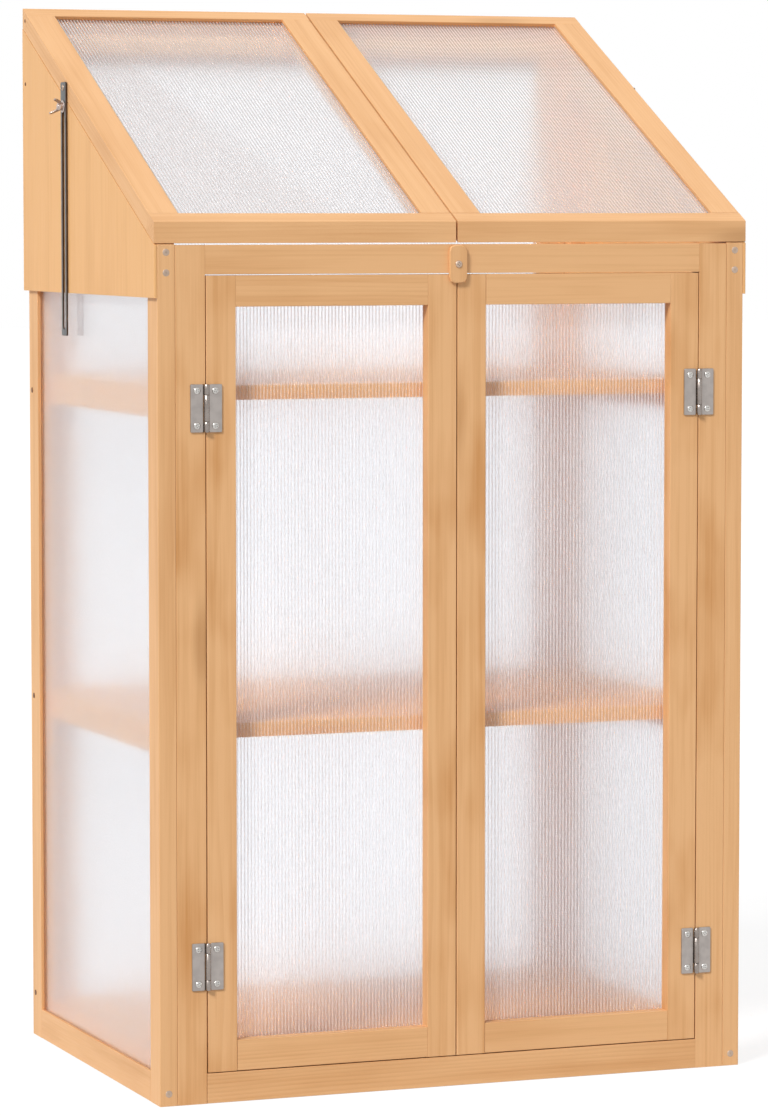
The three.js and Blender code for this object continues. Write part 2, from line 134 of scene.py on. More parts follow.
WANDER_SCALE = (1.3, 11, 11)
WANDER_REACH_M = (0, 0.03, 0.03)
SEASON_SCALE = (0.9, 42, 42)
STREAK_SCALE = (2.4, 130, 130)
FIBRE_SCALE = (16, 1400, 1400)
CLOUD_SCALE_ACROSS = 17
KNOT_SCALE = (4.1, 19, 19)
LATE_WOOD_RISE = (0.25, 0.86)
LATE_WOOD_FALL = (0.99, 0.9)
SEASON_RANGE = (0.36, 0.66)
STREAK_RANGE = (0.42, 0.74)
CLOUD_RANGE = (0.42, 0.76)
FIBRE_RANGE = (0.35, 0.75)
FIBRE_SWING = (-0.07, 0.07)
TONE_STRENGTH = 0.14
RARE_RANGE = (0.8, 0.84)
KNOT_RANGE = (0.3, 0.06)
KNOT_STRENGTH = 0.55
KNOT_DARKNESS = 0.72
DULL_RANGE = (0.2, 0.8)
WOOD_ROUGHNESS = (0.45, 0.61)
FIBRE_RELIEF, RING_RELIEF = 0.6, 0.5
WOOD_RELIEF_M = 0.00025


def wood(name, light, deep, ring_pitch=0.0046, ring_strength=0.24, streak_strength=0.3, cloud_strength=0.4,
         cloud_stretch=4):
    material, tree = new_material(name)
    grain = add_node(tree, "ShaderNodeAttribute", attribute_name="grain").outputs["Vector"]
    tone = add_node(tree, "ShaderNodeAttribute", attribute_name="tone").outputs["Fac"]
    wander = noise(tree, scaled(tree, grain, WANDER_SCALE), detail=2.5).outputs["Color"]
    wander = vector_math(tree, "SUBTRACT", wander, (0.5, 0.5, 0.5)).outputs[0]
    across = scaled(tree, grain, (0, 1, 1))
    bent = vector_math(tree, "ADD", scaled(tree, wander, WANDER_REACH_M), across).outputs[0]
    radius = vector_math(tree, "LENGTH", bent).outputs["Value"]
    ring = math_node(tree, "FRACT", math_node(tree, "DIVIDE", radius, ring_pitch))
    late_wood = math_node(tree, "MULTIPLY", smooth_range(tree, ring, *LATE_WOOD_RISE),
                          smooth_range(tree, ring, *LATE_WOOD_FALL))
    season = noise(tree, scaled(tree, grain, SEASON_SCALE), detail=2).outputs["Fac"]
    late_wood = math_node(tree, "MULTIPLY", late_wood, smooth_range(tree, season, *SEASON_RANGE))
    streak = noise(tree, scaled(tree, grain, STREAK_SCALE), detail=3, roughness=0.6).outputs["Fac"]
    fibre = noise(tree, scaled(tree, grain, FIBRE_SCALE), detail=2, roughness=0.6).outputs["Fac"]
    cloud_scale = (cloud_stretch, CLOUD_SCALE_ACROSS, CLOUD_SCALE_ACROSS)
    cloud = noise(tree, scaled(tree, grain, cloud_scale), detail=2.5).outputs["Fac"]
    share = math_node(tree, "MULTIPLY", late_wood, ring_strength)
    share = math_node(tree, "MULTIPLY_ADD", smooth_range(tree, streak, *STREAK_RANGE), streak_strength, share)
    share = math_node(tree, "MULTIPLY_ADD", smooth_range(tree, cloud, *CLOUD_RANGE), cloud_strength, share)
    share = math_node(tree, "MULTIPLY_ADD", smooth_range(tree, fibre, *FIBRE_RANGE, *FIBRE_SWING), 1.0, share)
    share = math_node(tree, "MULTIPLY_ADD", tone, TONE_STRENGTH, share)
    share = add_node(tree, "ShaderNodeClamp", {"Value": share}).outputs[0]
    colour = mixed(tree, share, shaded(*light), shaded(*deep))
    spot = add_node(tree, "ShaderNodeTexVoronoi", {"Vector": scaled(tree, grain, KNOT_SCALE), "Scale": 1.0})
    lot = add_node(tree, "ShaderNodeSeparateColor", {0: spot.outputs["Color"]}).outputs[0]
    knot = math_node(tree, "MULTIPLY", smooth_range(tree, spot.outputs["Distance"], *KNOT_RANGE),
                     smooth_range(tree, lot, *RARE_RANGE))
    knot_colour = shaded(*(KNOT_DARKNESS * channel for channel in deep))
    colour = mixed(tree, math_node(tree, "MULTIPLY", knot, KNOT_STRENGTH), colour, knot_colour)
    dull = smooth_range(tree, fibre, *DULL_RANGE, *WOOD_ROUGHNESS)
    rings = math_node(tree, "MULTIPLY", late_wood, RING_RELIEF)
    height = math_node(tree, "MULTIPLY_ADD", fibre, FIBRE_RELIEF, rings)
    bump = add_node(tree, "ShaderNodeBump", {
        "Strength": 0.35, "Distance": WOOD_RELIEF_M, "Height": height}).outputs[0]
    show(tree, add_node(tree, "ShaderNodeBsdfPrincipled", {
        "Base Color": colour, "Roughness": dull, "Normal": bump, "Specular IOR Level": 0.42}).outputs[0])
    return material


PALE_WOOD = (0.79, 0.452, 0.212)

timber = wood("timber", PALE_WOOD, (0.6, 0.29, 0.105))
stile_wood = wood("stile_wood", PALE_WOOD, (0.6, 0.28, 0.092),
                  streak_strength=0.4, cloud_strength=0.68, cloud_stretch=7)
shelf_wood = wood("shelf_wood", (0.75, 0.345, 0.08), (0.57, 0.215, 0.042))
board_wood = wood("board_wood", (0.8, 0.446, 0.185), (0.66, 0.33, 0.118),
                  ring_pitch=0.011, ring_strength=0.16, streak_strength=0.24)


# Twin-wall sheet: clear outer walls, milky inner walls that blur what lies far behind, and webs between them

HAZE_GRAIN_SCALE = 420
HAZE_GRAIN_RANGE = (0.35, 0.65)
HAZE_GRAIN_SWING = 0.03
LIGHT_TINT = (0.997, 0.996, 0.997)
CLEAR = (0.999, 0.997, 1.0)
MILKY = (0.987, 0.994, 1.0)


def clear_for_light(tree, shader):
    """Lets lamps and bounced light pass straight through, so that what is inside is lit."""
    path = add_node(tree, "ShaderNodeLightPath").outputs
    share = math_node(tree, "MAXIMUM", path["Is Shadow Ray"], path["Is Diffuse Ray"])
    through = add_node(tree, "ShaderNodeBsdfTransparent", {"Color": shaded(*LIGHT_TINT)}).outputs[0]
    return add_node(tree, "ShaderNodeMixShader", {0: share, 1: shader, 2: through}).outputs[0]


def plastic(name, roughness, ior, clear, colour=CLEAR, haze=None, glow=None):
    """Clear plastic, with the roughness and share of a duller gloss as its haze.

    With haze, near things stay clear and far ones wash out.
    Glow is painted light: a faint emission that stands in for the light that milky plastic scatters.
    """
    material, tree = new_material(name)
    inputs = {"Base Color": shaded(*colour), "Roughness": roughness, "IOR": ior, "Transmission Weight": clear}
    if glow:
        inputs.update({"Emission Color": shaded(*glow), "Emission Strength": 1.0})
    glass = add_node(tree, "ShaderNodeBsdfPrincipled", inputs).outputs[0]
    if haze:
        haze_roughness, haze_share = haze
        place_at = add_node(tree, "ShaderNodeTexCoord").outputs["Object"]
        grain = noise(tree, scaled(tree, place_at, [HAZE_GRAIN_SCALE] * 3), detail=1).outputs["Fac"]
        share = smooth_range(tree, grain, *HAZE_GRAIN_RANGE, haze_share - HAZE_GRAIN_SWING,
                             haze_share + HAZE_GRAIN_SWING)
        dull = add_node(tree, "ShaderNodeBsdfPrincipled", {**inputs, "Roughness": haze_roughness}).outputs[0]
        glass = add_node(tree, "ShaderNodeMixShader", {0: share, 1: glass, 2: dull}).outputs[0]
    show(tree, clear_for_light(tree, glass))
    return material


outer_wall = plastic("sheet_outer_wall", roughness=0.0, ior=1.15, clear=0.99)
side_outer_wall = plastic("sheet_side_outer_wall", roughness=0.12, ior=1.15, clear=0.99)
# The inner walls' glow is painted light: each wall emits faintly to lift its whites.
inner_wall = plastic("sheet_inner_wall", roughness=0.2, ior=1.12, clear=0.985, colour=MILKY,
                     haze=(0.75, 0.54), glow=(0.011, 0.019, 0.029))
side_inner_wall = plastic("sheet_side_inner_wall", roughness=0.2, ior=1.12, clear=0.985, colour=MILKY,
                          haze=(0.6, 0.4), glow=(0.004, 0.008, 0.012))
lid_inner_wall = plastic("sheet_lid_inner_wall", roughness=0.28, ior=1.12, clear=0.985,
                         colour=(0.99, 0.994, 1.0), glow=(0.018, 0.022, 0.027))
web_material = plastic("sheet_web", roughness=0.1, ior=1.5, clear=0.83, colour=(0.97, 0.95, 0.95))
side_web = plastic("sheet_side_web", roughness=0.1, ior=1.15, clear=0.99)
lid_web = plastic("sheet_lid_web", roughness=0.1, ior=1.3, clear=0.97)
# The lids' feet are grey and partly opaque: painted reflection, standing in for the darker lines that the
# ribs show.
foot_painted_reflection = plastic("sheet_foot_painted_reflection", roughness=0.1, ior=1.3, clear=0.4, colour=(0.65, 0.622, 0.605))


# Metals

LEVEL_BRUSHING = (60, 60, 900)
UPRIGHT_BRUSHING = (900, 900, 60)
PATCH_SCALE = (90, 90, 90)
PATCH_RANGE = (0.35, 0.7)
BRUSHED_RANGE = (0.3, 0.7)
BRUSHED_BELOW, BRUSHED_ABOVE = 0.06, 0.1
METAL_RELIEF_M = 0.0001


def metal(name, colour, roughness, wear, stretch=LEVEL_BRUSHING):
    material, tree = new_material(name)
    place_at = add_node(tree, "ShaderNodeTexCoord").outputs["Object"]
    brushed = noise(tree, scaled(tree, place_at, stretch), detail=3, roughness=0.6).outputs["Fac"]
    patch = noise(tree, scaled(tree, place_at, PATCH_SCALE), detail=3).outputs["Fac"]
    tarnish = shaded(*(wear * channel for channel in colour))
    tint = mixed(tree, smooth_range(tree, patch, *PATCH_RANGE), shaded(*colour), tarnish)
    dull = smooth_range(tree, brushed, *BRUSHED_RANGE, roughness - BRUSHED_BELOW, roughness + BRUSHED_ABOVE)
    bump = add_node(tree, "ShaderNodeBump", {
        "Strength": 0.25, "Distance": METAL_RELIEF_M, "Height": brushed}).outputs[0]
    show(tree, add_node(tree, "ShaderNodeBsdfPrincipled", {
        "Base Color": tint, "Metallic": 1.0, "Roughness": dull, "Normal": bump}).outputs[0])
    return material


nickel = metal("nickel", (0.43, 0.39, 0.365), roughness=0.36, wear=0.86, stretch=UPRIGHT_BRUSHING)
bright_steel = metal("bright_steel", (0.62, 0.6, 0.57), roughness=0.27, wear=0.85)
# The knuckles' nickel is a darker copy of the leaves' nickel: painted shade on the knuckles' round sides.
knuckle_nickel_painted_shade = metal("knuckle_nickel_painted_shade", (0.33, 0.29, 0.265), roughness=0.26, wear=0.8)
dull_steel = metal("dull_steel", (0.56, 0.43, 0.34), roughness=0.5, wear=0.8)
nut_steel = metal("nut_steel", (0.66, 0.56, 0.51), roughness=0.34, wear=0.75)
brown_steel = metal("brown_steel", (0.24, 0.12, 0.065), roughness=0.5, wear=0.8)
bar_zinc = metal("bar_zinc", (0.185, 0.19, 0.19), roughness=0.42, wear=0.8, stretch=UPRIGHT_BRUSHING)
# This darker zinc is painted shade: it colours the stay bars' edges and the hinges' gaps between leaf and
# knuckle.
zinc_painted_shade = metal("zinc_painted_shade", (0.12, 0.084, 0.064), roughness=0.4, wear=0.75, stretch=UPRIGHT_BRUSHING)

# The recess material is painted shade: a near-black stand-in for the shade inside a screw's cross.
recess_painted_shade, recess_tree = new_material("recess_painted_shade")
show(recess_tree, add_node(recess_tree, "ShaderNodeBsdfPrincipled", {
    "Base Color": shaded(0.09, 0.08, 0.075), "Roughness": 0.6, "Metallic": 0.6}).outputs[0])


# Making pieces

def new_piece(name, mesh, materials, body, replaced):
    """Adds a mesh, in metres in the row frame, as a piece that rides on a CAD body."""
    for material in materials:
        mesh.materials.append(material)
    piece = bpy.data.objects.new(name, mesh)
    bpy.context.scene.collection.objects.link(piece)
    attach(piece, body)
    if replaced:
        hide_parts(*replaced)


def mesh_from(build):
    """A mesh from a bmesh whose points are in millimetres from the front face."""
    bmesh.ops.recalc_face_normals(build, faces=build.faces)
    for vertex in build.verts:
        vertex.co = place(*vertex.co)
    mesh = bpy.data.meshes.new("piece")
    build.to_mesh(mesh)
    build.free()
    return mesh


def add_box(build, low, high, matrix, material):
    """Adds a closed box between two corners in the matrix's frame."""
    corners = [build.verts.new(matrix @ Vector((x, y, z)))
               for x in (low[0], high[0]) for y in (low[1], high[1]) for z in (low[2], high[2])]
    for quad in ((0, 1, 3, 2), (4, 6, 7, 5), (0, 4, 5, 1), (2, 3, 7, 6), (0, 2, 6, 4), (1, 5, 7, 3)):
        build.faces.new([corners[index] for index in quad]).material_index = material


def add_lathe(build, profile, matrix, segments, material=0):
    """Adds a round solid about the matrix's Z, from a profile of (radius, height) that starts at the axis."""
    angles = [step * math.tau / segments for step in range(segments)]
    rows = []
    for radius, height in profile:
        points = [(radius * math.cos(angle), radius * math.sin(angle), height) for angle in angles]
        if radius == 0:
            points = [(0, 0, height)]
        rows.append([build.verts.new(matrix @ Vector(point)) for point in points])
    for first, second in zip(rows, rows[1:]):
        for step in range(segments):
            following = (step + 1) % segments
            ring = [first[step % len(first)], first[following % len(first)],
                    second[following % len(second)], second[step % len(second)]]
            corners = list(dict.fromkeys(ring))
            if len(corners) > 2:
                face = build.faces.new(corners)
                face.material_index, face.smooth = material, True


def add_extruded(build, outline, depth, matrix, edge, material=0):
    """Adds a flat plate from an outline in the matrix's XY, with its two rims chamfered by edge."""
    middle = sum((Vector(point) for point in outline), Vector((0, 0))) / len(outline)

    def inset(point, by):
        point = Vector(point)
        return point - (point - middle).normalized() * by

    levels = [(0, edge), (edge, 0), (depth - edge, 0), (depth, edge)]
    rows = [[build.verts.new(matrix @ Vector((*inset(point, by), height))) for point in outline]
            for height, by in levels]
    for first, second in zip(rows, rows[1:]):
        for step in range(len(outline)):
            following = (step + 1) % len(outline)
            face = build.faces.new([first[step], first[following], second[following], second[step]])
            face.material_index = material
    build.faces.new(rows[0][::-1]).material_index = material
    build.faces.new(rows[-1]).material_index = material


def basis(x, y, z, origin=(0, 0, 0)):
    """A matrix whose X, Y and Z directions and origin are given."""
    return Matrix.Translation(origin) @ Matrix((x, y, z)).transposed().to_4x4()


# Timber: each CAD member again with eased edges and its grain

EASED_EDGE_M = 0.0006
LONG_EDGE_M = 0.012
MERGE_M = 1e-6
FLAT_ANGLE = math.radians(0.5)
SHARP_ANGLE = math.radians(30)
ALONG_GRAIN = 0.6
LOG_LENGTH_M = 9
NEAR_HEART_M = 0.03
FROM_HEART_M = (0.035, 0.09)
TONE_SPREAD = 0.5
random_source = random.Random(239)


def grain_direction(name):
    """The way that a member's wood grew."""
    if "_lid_" in name and "stile" in name:
        return UP_SLOPE
    if any(word in name for word in ("post", "jamb", "stile", "panel", "button")):
        return Z
    if name in ("left_bottom_rail", "right_bottom_rail"):
        return Y
    return X


def add_grain(mesh, along, middle):
    """Writes each point's place in the log, with a log of its own for every member."""
    across = along.cross(Z if along == X else X).normalized()
    other = along.cross(across)
    start = random_source.uniform(0, LOG_LENGTH_M)
    aside = random_source.uniform(-NEAR_HEART_M, NEAR_HEART_M)
    below = random_source.choice((-1, 1)) * random_source.uniform(*FROM_HEART_M)
    if random_source.random() < 0.5:
        aside, below = below, aside
    grain = mesh.attributes.new("grain", "FLOAT_VECTOR", "POINT")
    values = []
    for vertex in mesh.vertices:
        offset = vertex.co - middle
        values += [offset.dot(along) + start, offset.dot(across) + aside, offset.dot(other) + below]
    grain.data.foreach_set("vector", values)
    tone = mesh.attributes.new("tone", "FLOAT", "POINT")
    member_tone = random_source.uniform(-TONE_SPREAD, TONE_SPREAD)
    tone.data.foreach_set("value", [member_tone] * len(mesh.vertices))


def eased_copy(node):
    """The node's mesh with its flat faces whole again and its long outer edges rounded over."""
    build = bmesh.new()
    build.from_mesh(nodes[node].data)
    bmesh.ops.remove_doubles(build, verts=build.verts, dist=MERGE_M)
    bmesh.ops.dissolve_limit(build, angle_limit=FLAT_ANGLE, verts=build.verts, edges=build.edges)
    bmesh.ops.recalc_face_normals(build, faces=build.faces)
    build.normal_update()
    along = grain_direction(node)
    edges = [edge for edge in build.edges if edge.is_manifold and edge.is_convex
             and edge.calc_length() > LONG_EDGE_M and edge.calc_face_angle(0) > SHARP_ANGLE
             and abs((edge.verts[1].co - edge.verts[0].co).normalized().dot(along)) > ALONG_GRAIN]
    bmesh.ops.bevel(build, geom=edges, offset=EASED_EDGE_M, segments=2, profile=0.5, affect="EDGES",
                    clamp_overlap=False)
    mesh = bpy.data.meshes.new(node)
    build.to_mesh(mesh)
    build.free()
    for face in mesh.polygons:
        face.use_smooth = False
    return mesh


def wood_of(name):
    if "shelf" in name:
        return shelf_wood
    if name.endswith("side_panel"):
        return board_wood
    if name.endswith("jamb") or ("door" in name and "stile" in name):
        return stile_wood
    return timber


def make_timber():
    for name in sorted(nodes):
        if any(word in name for word in ("sheet", "leaf", "screw", "clamp", "bar", "button")):
            continue
        mesh = eased_copy(name)
        low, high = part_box(name)
        add_grain(mesh, grain_direction(name), (low + high) / 2)
        new_piece(f"{name}_wood", mesh, [wood_of(name)], body_of[name], [name])


make_timber()


# Sheets

WALL_THICKNESS = 0.4
WEB_THICKNESS = 0.4
WEB_PITCH = 3.93
WEB_CLEARANCE = 0.02
EDGE_CLEARANCE = 0.1
FOOT_THICKNESS = 0.2
LID_FOOT_WIDTH = 1.5
OUTER, INNER, WEB, FOOT = range(4)


def make_sheet(name, across, along, outward, foot_width=0):
    """Two walls with webs between, and an optional foot that joins each web to the outer wall.

    It is made in the sheet's own frame: across the webs, along them, and out of the sheet.
    """
    matrix = basis(across, along, across.cross(along))
    outer_is_high = across.cross(along).dot(outward) > 0
    inverse = matrix.inverted()
    points = [inverse @ ((vertex.co / MM) - Vector((0, FRONT_Y, 0))) for vertex in nodes[name].data.vertices]
    low = Vector([min(point[axis] for point in points) for axis in range(3)])
    high = Vector([max(point[axis] for point in points) for axis in range(3)])
    build = bmesh.new()
    lower, upper = (INNER, OUTER) if outer_is_high else (OUTER, INNER)
    add_box(build, low, (high.x, high.y, low.z + WALL_THICKNESS), matrix, lower)
    add_box(build, (low.x, low.y, high.z - WALL_THICKNESS), high, matrix, upper)
    inside_low = low + Vector((EDGE_CLEARANCE, EDGE_CLEARANCE, WALL_THICKNESS + WEB_CLEARANCE))
    inside_high = high - Vector((EDGE_CLEARANCE, EDGE_CLEARANCE, WALL_THICKNESS + WEB_CLEARANCE))
    count = round((inside_high.x - inside_low.x) / WEB_PITCH)
    pitch = (inside_high.x - inside_low.x - WEB_THICKNESS) / count
    foot_from = inside_high.z - FOOT_THICKNESS if outer_is_high else inside_low.z
    web_low, web_high = inside_low.z, inside_high.z
    if foot_width and outer_is_high:
        web_high = foot_from - WEB_CLEARANCE
    elif foot_width:
        web_low = foot_from + FOOT_THICKNESS + WEB_CLEARANCE
    for index in range(count + 1):
        left = inside_low.x + index * pitch
        right = left + WEB_THICKNESS
        add_box(build, (left, inside_low.y, web_low), (right, inside_high.y, web_high), matrix, WEB)
        if foot_width:
            middle = left + WEB_THICKNESS / 2
            foot_low = max(inside_low.x, middle - foot_width / 2)
            foot_high = min(inside_high.x, middle + foot_width / 2)
            add_box(build, (foot_low, inside_low.y, foot_from),
                    (foot_high, inside_high.y, foot_from + FOOT_THICKNESS), matrix, FOOT)
    materials = [outer_wall, inner_wall, web_material]
    if "lid" in name:
        materials = [outer_wall, lid_inner_wall, lid_web, foot_painted_reflection]
    elif "side" in name:
        materials = [side_outer_wall, side_inner_wall, side_web]
    new_piece(f"{name}_twin_wall", mesh_from(build), materials, body_of[name], [name])


for side_name, side_sign in SIDES.items():
    make_sheet(f"{side_name}_door_sheet", X, Z, -Y)
    make_sheet(f"{side_name}_lid_sheet", X, UP_SLOPE, Z, LID_FOOT_WIDTH)
    make_sheet(f"{side_name}_side_sheet", Y, Z, side_sign * X)
make_sheet("back_sheet", X, Z, Y)


# Hinges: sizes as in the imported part

KNUCKLE_RADIUS = 3.0
LEAF_THICKNESS = 1.6
LEAF_REACH = 18.0
LEAF_NOTCH = 3.6
LEAF_CORNER = 1.2
LEAF_EDGE = 0.3
KNUCKLE_RIM = 0.25
KNUCKLE_GAP = 0.35
STRAP_DROP = 0.5
STRAP_OVERLAP = 1.0
STRAP_SHY = 0.05
PIN_RADIUS = 1.5
PIN_OVERRUN = 0.1
LEAF, LEAF_SCREW, LEAF_RECESS, LEAF_KNUCKLE, LEAF_STRAP = range(5)
FIRST_TURN, TURN_STEP, TURN_BY_SIDE = 0.35, 1.1, 0.6
RECESS_WIDTH_SHARE = 0.24
RECESS_DEPTH, RECESS_PROUD = 0.5, 0.04
DOME_STEPS = 7
DOME_SUNK = 0.4
DOME_RIM_SHARE = 0.12
RECESS_RADIUS_SHARE, RECESS_TOP_SHARE = 0.5, 0.93
KNUCKLE_SHARES = (0, 0.22, 0.78, 1)
HINGE_SCREW_SIZE = (3.8, 1.7)
HINGE_SCREW_REACH = 10.5
HINGE_SCREW_INSET = 7.0
PIN_STANDOFF = 3.2
DOOR_HINGE_X = 292.0
DOOR_HINGE_LENGTH = 52.0
LID_HINGE_LENGTH = 240.0


def cross_recess(build, matrix, radius, top, material):
    """Adds the cross of a screw's recess, as two thin bars sunk into the dome; where the bars are dark, that
    is painted shade.
    """
    low, high = top - RECESS_DEPTH, top + RECESS_PROUD
    half_width = RECESS_WIDTH_SHARE * radius
    for x, y in ((radius, half_width), (half_width, radius)):
        add_box(build, (-x, -y, low), (x, y, high), matrix, material)


def add_screw(build, matrix, radius, height, turn, material, recess_material):
    """A domed cross-head screw whose head's underside is at the matrix's origin, facing its +Z.

    Its size is given as the head's radius and height.
    """
    profile = [(0, -DOME_SUNK), (radius, -DOME_SUNK), (radius, DOME_RIM_SHARE * height)]
    for step in range(1, DOME_STEPS + 1):
        angle = step / DOME_STEPS * math.pi / 2
        rise = DOME_RIM_SHARE + (1 - DOME_RIM_SHARE) * math.sin(angle)
        profile.append((radius * math.cos(angle) if step < DOME_STEPS else 0, height * rise))
    add_lathe(build, profile, matrix, 28, material)
    turned = matrix @ Matrix.Rotation(turn, 4, "Z")
    cross_recess(build, turned, RECESS_RADIUS_SHARE * radius, RECESS_TOP_SHARE * height, recess_material)


def rounded_corners(low, high, radius, steps=4):
    """Outline of a rectangle with rounded corners."""
    points = []
    corners = ((high[0], high[1]), (low[0], high[1]), (low[0], low[1]), (high[0], low[1]))
    for quarter, (x, y) in enumerate(corners):
        centre = Vector((x - math.copysign(radius, x - (low[0] + high[0]) / 2),
                         y - math.copysign(radius, y - (low[1] + high[1]) / 2)))
        for step in range(steps + 1):
            angle = (quarter + step / steps) * math.pi / 2
            points.append(centre + radius * Vector((math.cos(angle), math.sin(angle))))
    return points


def make_leaf(name, matrix, side, first_knuckle, length, screw_shares, with_pin):
    """One hinge leaf in the hinge's frame: pin along Z, leaf out along side * X, wood behind at +Y."""
    build = bmesh.new()
    back, front = KNUCKLE_RADIUS, KNUCKLE_RADIUS - LEAF_THICKNESS
    near, far = sorted((side * LEAF_NOTCH, side * LEAF_REACH))
    outline = rounded_corners((near, -length / 2), (far, length / 2), LEAF_CORNER)
    add_extruded(build, outline, LEAF_THICKNESS, matrix @ basis(X, Z, -Y, (0, back, 0)), LEAF_EDGE, LEAF)
    barrel = KNUCKLE_RADIUS - KNUCKLE_RIM
    strap_from, strap_to = sorted((0, side * (LEAF_NOTCH + STRAP_OVERLAP)))
    strap_front, strap_back = front + STRAP_DROP, back - STRAP_SHY
    for index in range(first_knuckle, len(KNUCKLE_SHARES) - 1, 2):
        low = length * (KNUCKLE_SHARES[index] - 0.5) + KNUCKLE_GAP / 2
        high = length * (KNUCKLE_SHARES[index + 1] - 0.5) - KNUCKLE_GAP / 2
        profile = [(0, low), (barrel, low), (KNUCKLE_RADIUS, low + KNUCKLE_RIM),
                   (KNUCKLE_RADIUS, high - KNUCKLE_RIM), (barrel, high), (0, high)]
        add_lathe(build, profile, matrix, 24, LEAF_KNUCKLE)
        # Each strap box sits in the gap behind a knuckle and carries painted shade there.
        add_box(build, (strap_from, strap_front, low), (strap_to, strap_back, high), matrix, LEAF_STRAP)
    if with_pin:
        end = length / 2 + PIN_OVERRUN
        add_lathe(build, [(0, -end), (PIN_RADIUS, -end), (PIN_RADIUS, end), (0, end)], matrix, 16, LEAF_SCREW)
    for number, share in enumerate(screw_shares):
        height = share * (length / 2 - HINGE_SCREW_INSET)
        spot = matrix @ basis(X, Z, -Y, (side * HINGE_SCREW_REACH, front, height))
        turn = FIRST_TURN + TURN_STEP * number + TURN_BY_SIDE * side
        add_screw(build, spot, *HINGE_SCREW_SIZE, turn, LEAF_SCREW, LEAF_RECESS)
    metals = [nickel, bright_steel, recess_painted_shade, knuckle_nickel_painted_shade, zinc_painted_shade]
    new_piece(f"{name}_nickel", mesh_from(build), metals, body_of[name], [name])


def make_hinge(name, matrix, length, screw_shares):
    make_leaf(f"{name}_frame_leaf", matrix, -1, 0, length, screw_shares, True)
    make_leaf(f"{name}_moving_leaf", matrix, 1, 1, length, screw_shares, False)


def middle_of(node):
    low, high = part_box(node)
    return (low + high) / 2 / MM - Vector((0, FRONT_Y, 0))


for side_name, side_sign in SIDES.items():
    for level in ("lower", "upper"):
        hinge_name = f"{side_name}_door_{level}_hinge"
        height = middle_of(f"{hinge_name}_moving_leaf").z
        pin = (side_sign * DOOR_HINGE_X, -PIN_STANDOFF, height)
        make_hinge(hinge_name, basis(-side_sign * X, Y, -side_sign * Z, pin), DOOR_HINGE_LENGTH, (-1, 1))
    lid_name = f"{side_name}_lid_hinge"
    rear_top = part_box(f"{lid_name}_frame_leaf")[1] / MM
    pin = (middle_of(f"{lid_name}_moving_leaf").x, rear_top.y - FRONT_Y - KNUCKLE_RADIUS,
           rear_top.z - KNUCKLE_RADIUS)
    make_hinge(lid_name, basis(Z, -Y, X, pin), LID_HINGE_LENGTH, (-1, 0, 1))


# Turn button and its screw

BUTTON_WIDTH = 20.8
BUTTON_LENGTH = 42.0
BUTTON_THICKNESS = 4.2
BUTTON_CORNER = 6.4
BUTTON_EDGE = 1.1
BUTTON_PLAY = 0.4
BUTTON_SCREW_SIZE = (4.0, 1.4)
BUTTON_SCREW_TURN = 0.15
BUTTON_SCREW, BUTTON_RECESS = range(2)
BUTTON_SHANK = ((0, -17), (2, -15), (2, 0), (0, 0))


def make_turn_button():
    middle = middle_of("turn_button")
    half_width, half_length = BUTTON_WIDTH / 2, BUTTON_LENGTH / 2
    outline = rounded_corners((-half_width, -half_length), (half_width, half_length), BUTTON_CORNER, steps=2)
    build = bmesh.new()
    add_extruded(build, outline, BUTTON_THICKNESS, basis(X, Z, -Y, (0, -BUTTON_PLAY, middle.z)), BUTTON_EDGE)
    mesh = mesh_from(build)
    add_grain(mesh, Z, place(*middle))
    new_piece("turn_button_wood", mesh, [timber], "turn_button", ["turn_button"])
    build = bmesh.new()
    front = basis(X, Z, -Y, (0, -(2 * BUTTON_PLAY + BUTTON_THICKNESS), middle.z))
    add_screw(build, front, *BUTTON_SCREW_SIZE, BUTTON_SCREW_TURN, BUTTON_SCREW, BUTTON_RECESS)
    add_lathe(build, BUTTON_SHANK, front, 16)
    new_piece("turn_button_screw_steel", mesh_from(build), [dull_steel, recess_painted_shade], "cabinet",
              ["turn_button_screw"])


make_turn_button()


# Lid stays

STAY_X = 350.6
STAY_THICKNESS = 2.0
STAY_WIDTH = 19.0
STAY_CORNER = 2.4
STAY_RIM = 0.25
SLOT_WIDTH = 9.4
SLOT_CORNER_SHY = 0.05
SLOT_MARGIN = 7.0
BOLT_PLAY = 2.7
STAY_TOP_MARGIN = 6.5
STAY_DROP = Vector((0, 0, 2.5))
PIVOT_TURN = 0.2
PIVOT_RECESS_RADIUS, PIVOT_RECESS_TOP = 1.7, 1.25
PIVOT_PROFILE = ((0, -2.2), (2.2, -2.2), (2.2, -0.1), (3.4, -0.1), (3.4, 0.4), (2.9, 0.9), (1.8, 1.2),
                 (0, 1.3))
BAR, PIVOT_SCREW, PIVOT_RECESS, BAR_EDGE = range(4)
INNER_FACE = 326.3
WASHER_PLAY = 0.2
WASHER_THICKNESS = 1.0
BOLT_OVERRUN = 7.0
BOLT_HEAD_PROFILE = ((0, -2.5), (2.6, -2.5), (4.6, -1.9), (5.5, -0.6), (5.5, 0), (0, 0))
BOLT_START_PROFILE = ((0, -0.2), (2.4, -0.2))
BOLT_END_PROFILE = ((2.4, -0.4), (2.0, 0), (0, 0))
WASHER_PROFILE = ((2.5, 0), (6.8, 0), (7, 0.2), (7, 0.8), (6.8, 1), (2.5, 1), (2.5, 0))
NUT_PROFILE = ((2.3, 0), (4.3, 0), (4.6, 0.4), (4.2, 4.6), (3.8, 5), (2.3, 5), (2.3, 0))
WING_SHAPE = ((3, 0.2), (4.6, 0.2), (7, 2), (9.6, 4.8), (12, 8), (13, 10.4), (12.8, 12), (11.4, 12.5),
              (10, 11.4), (8, 8.4), (6, 6), (3, 5))
WING_THICKNESS = 1.6
WING_EDGE = 0.35
WING_TURN = math.radians(-50)
RIGHT_WING_SHARE = 0.6


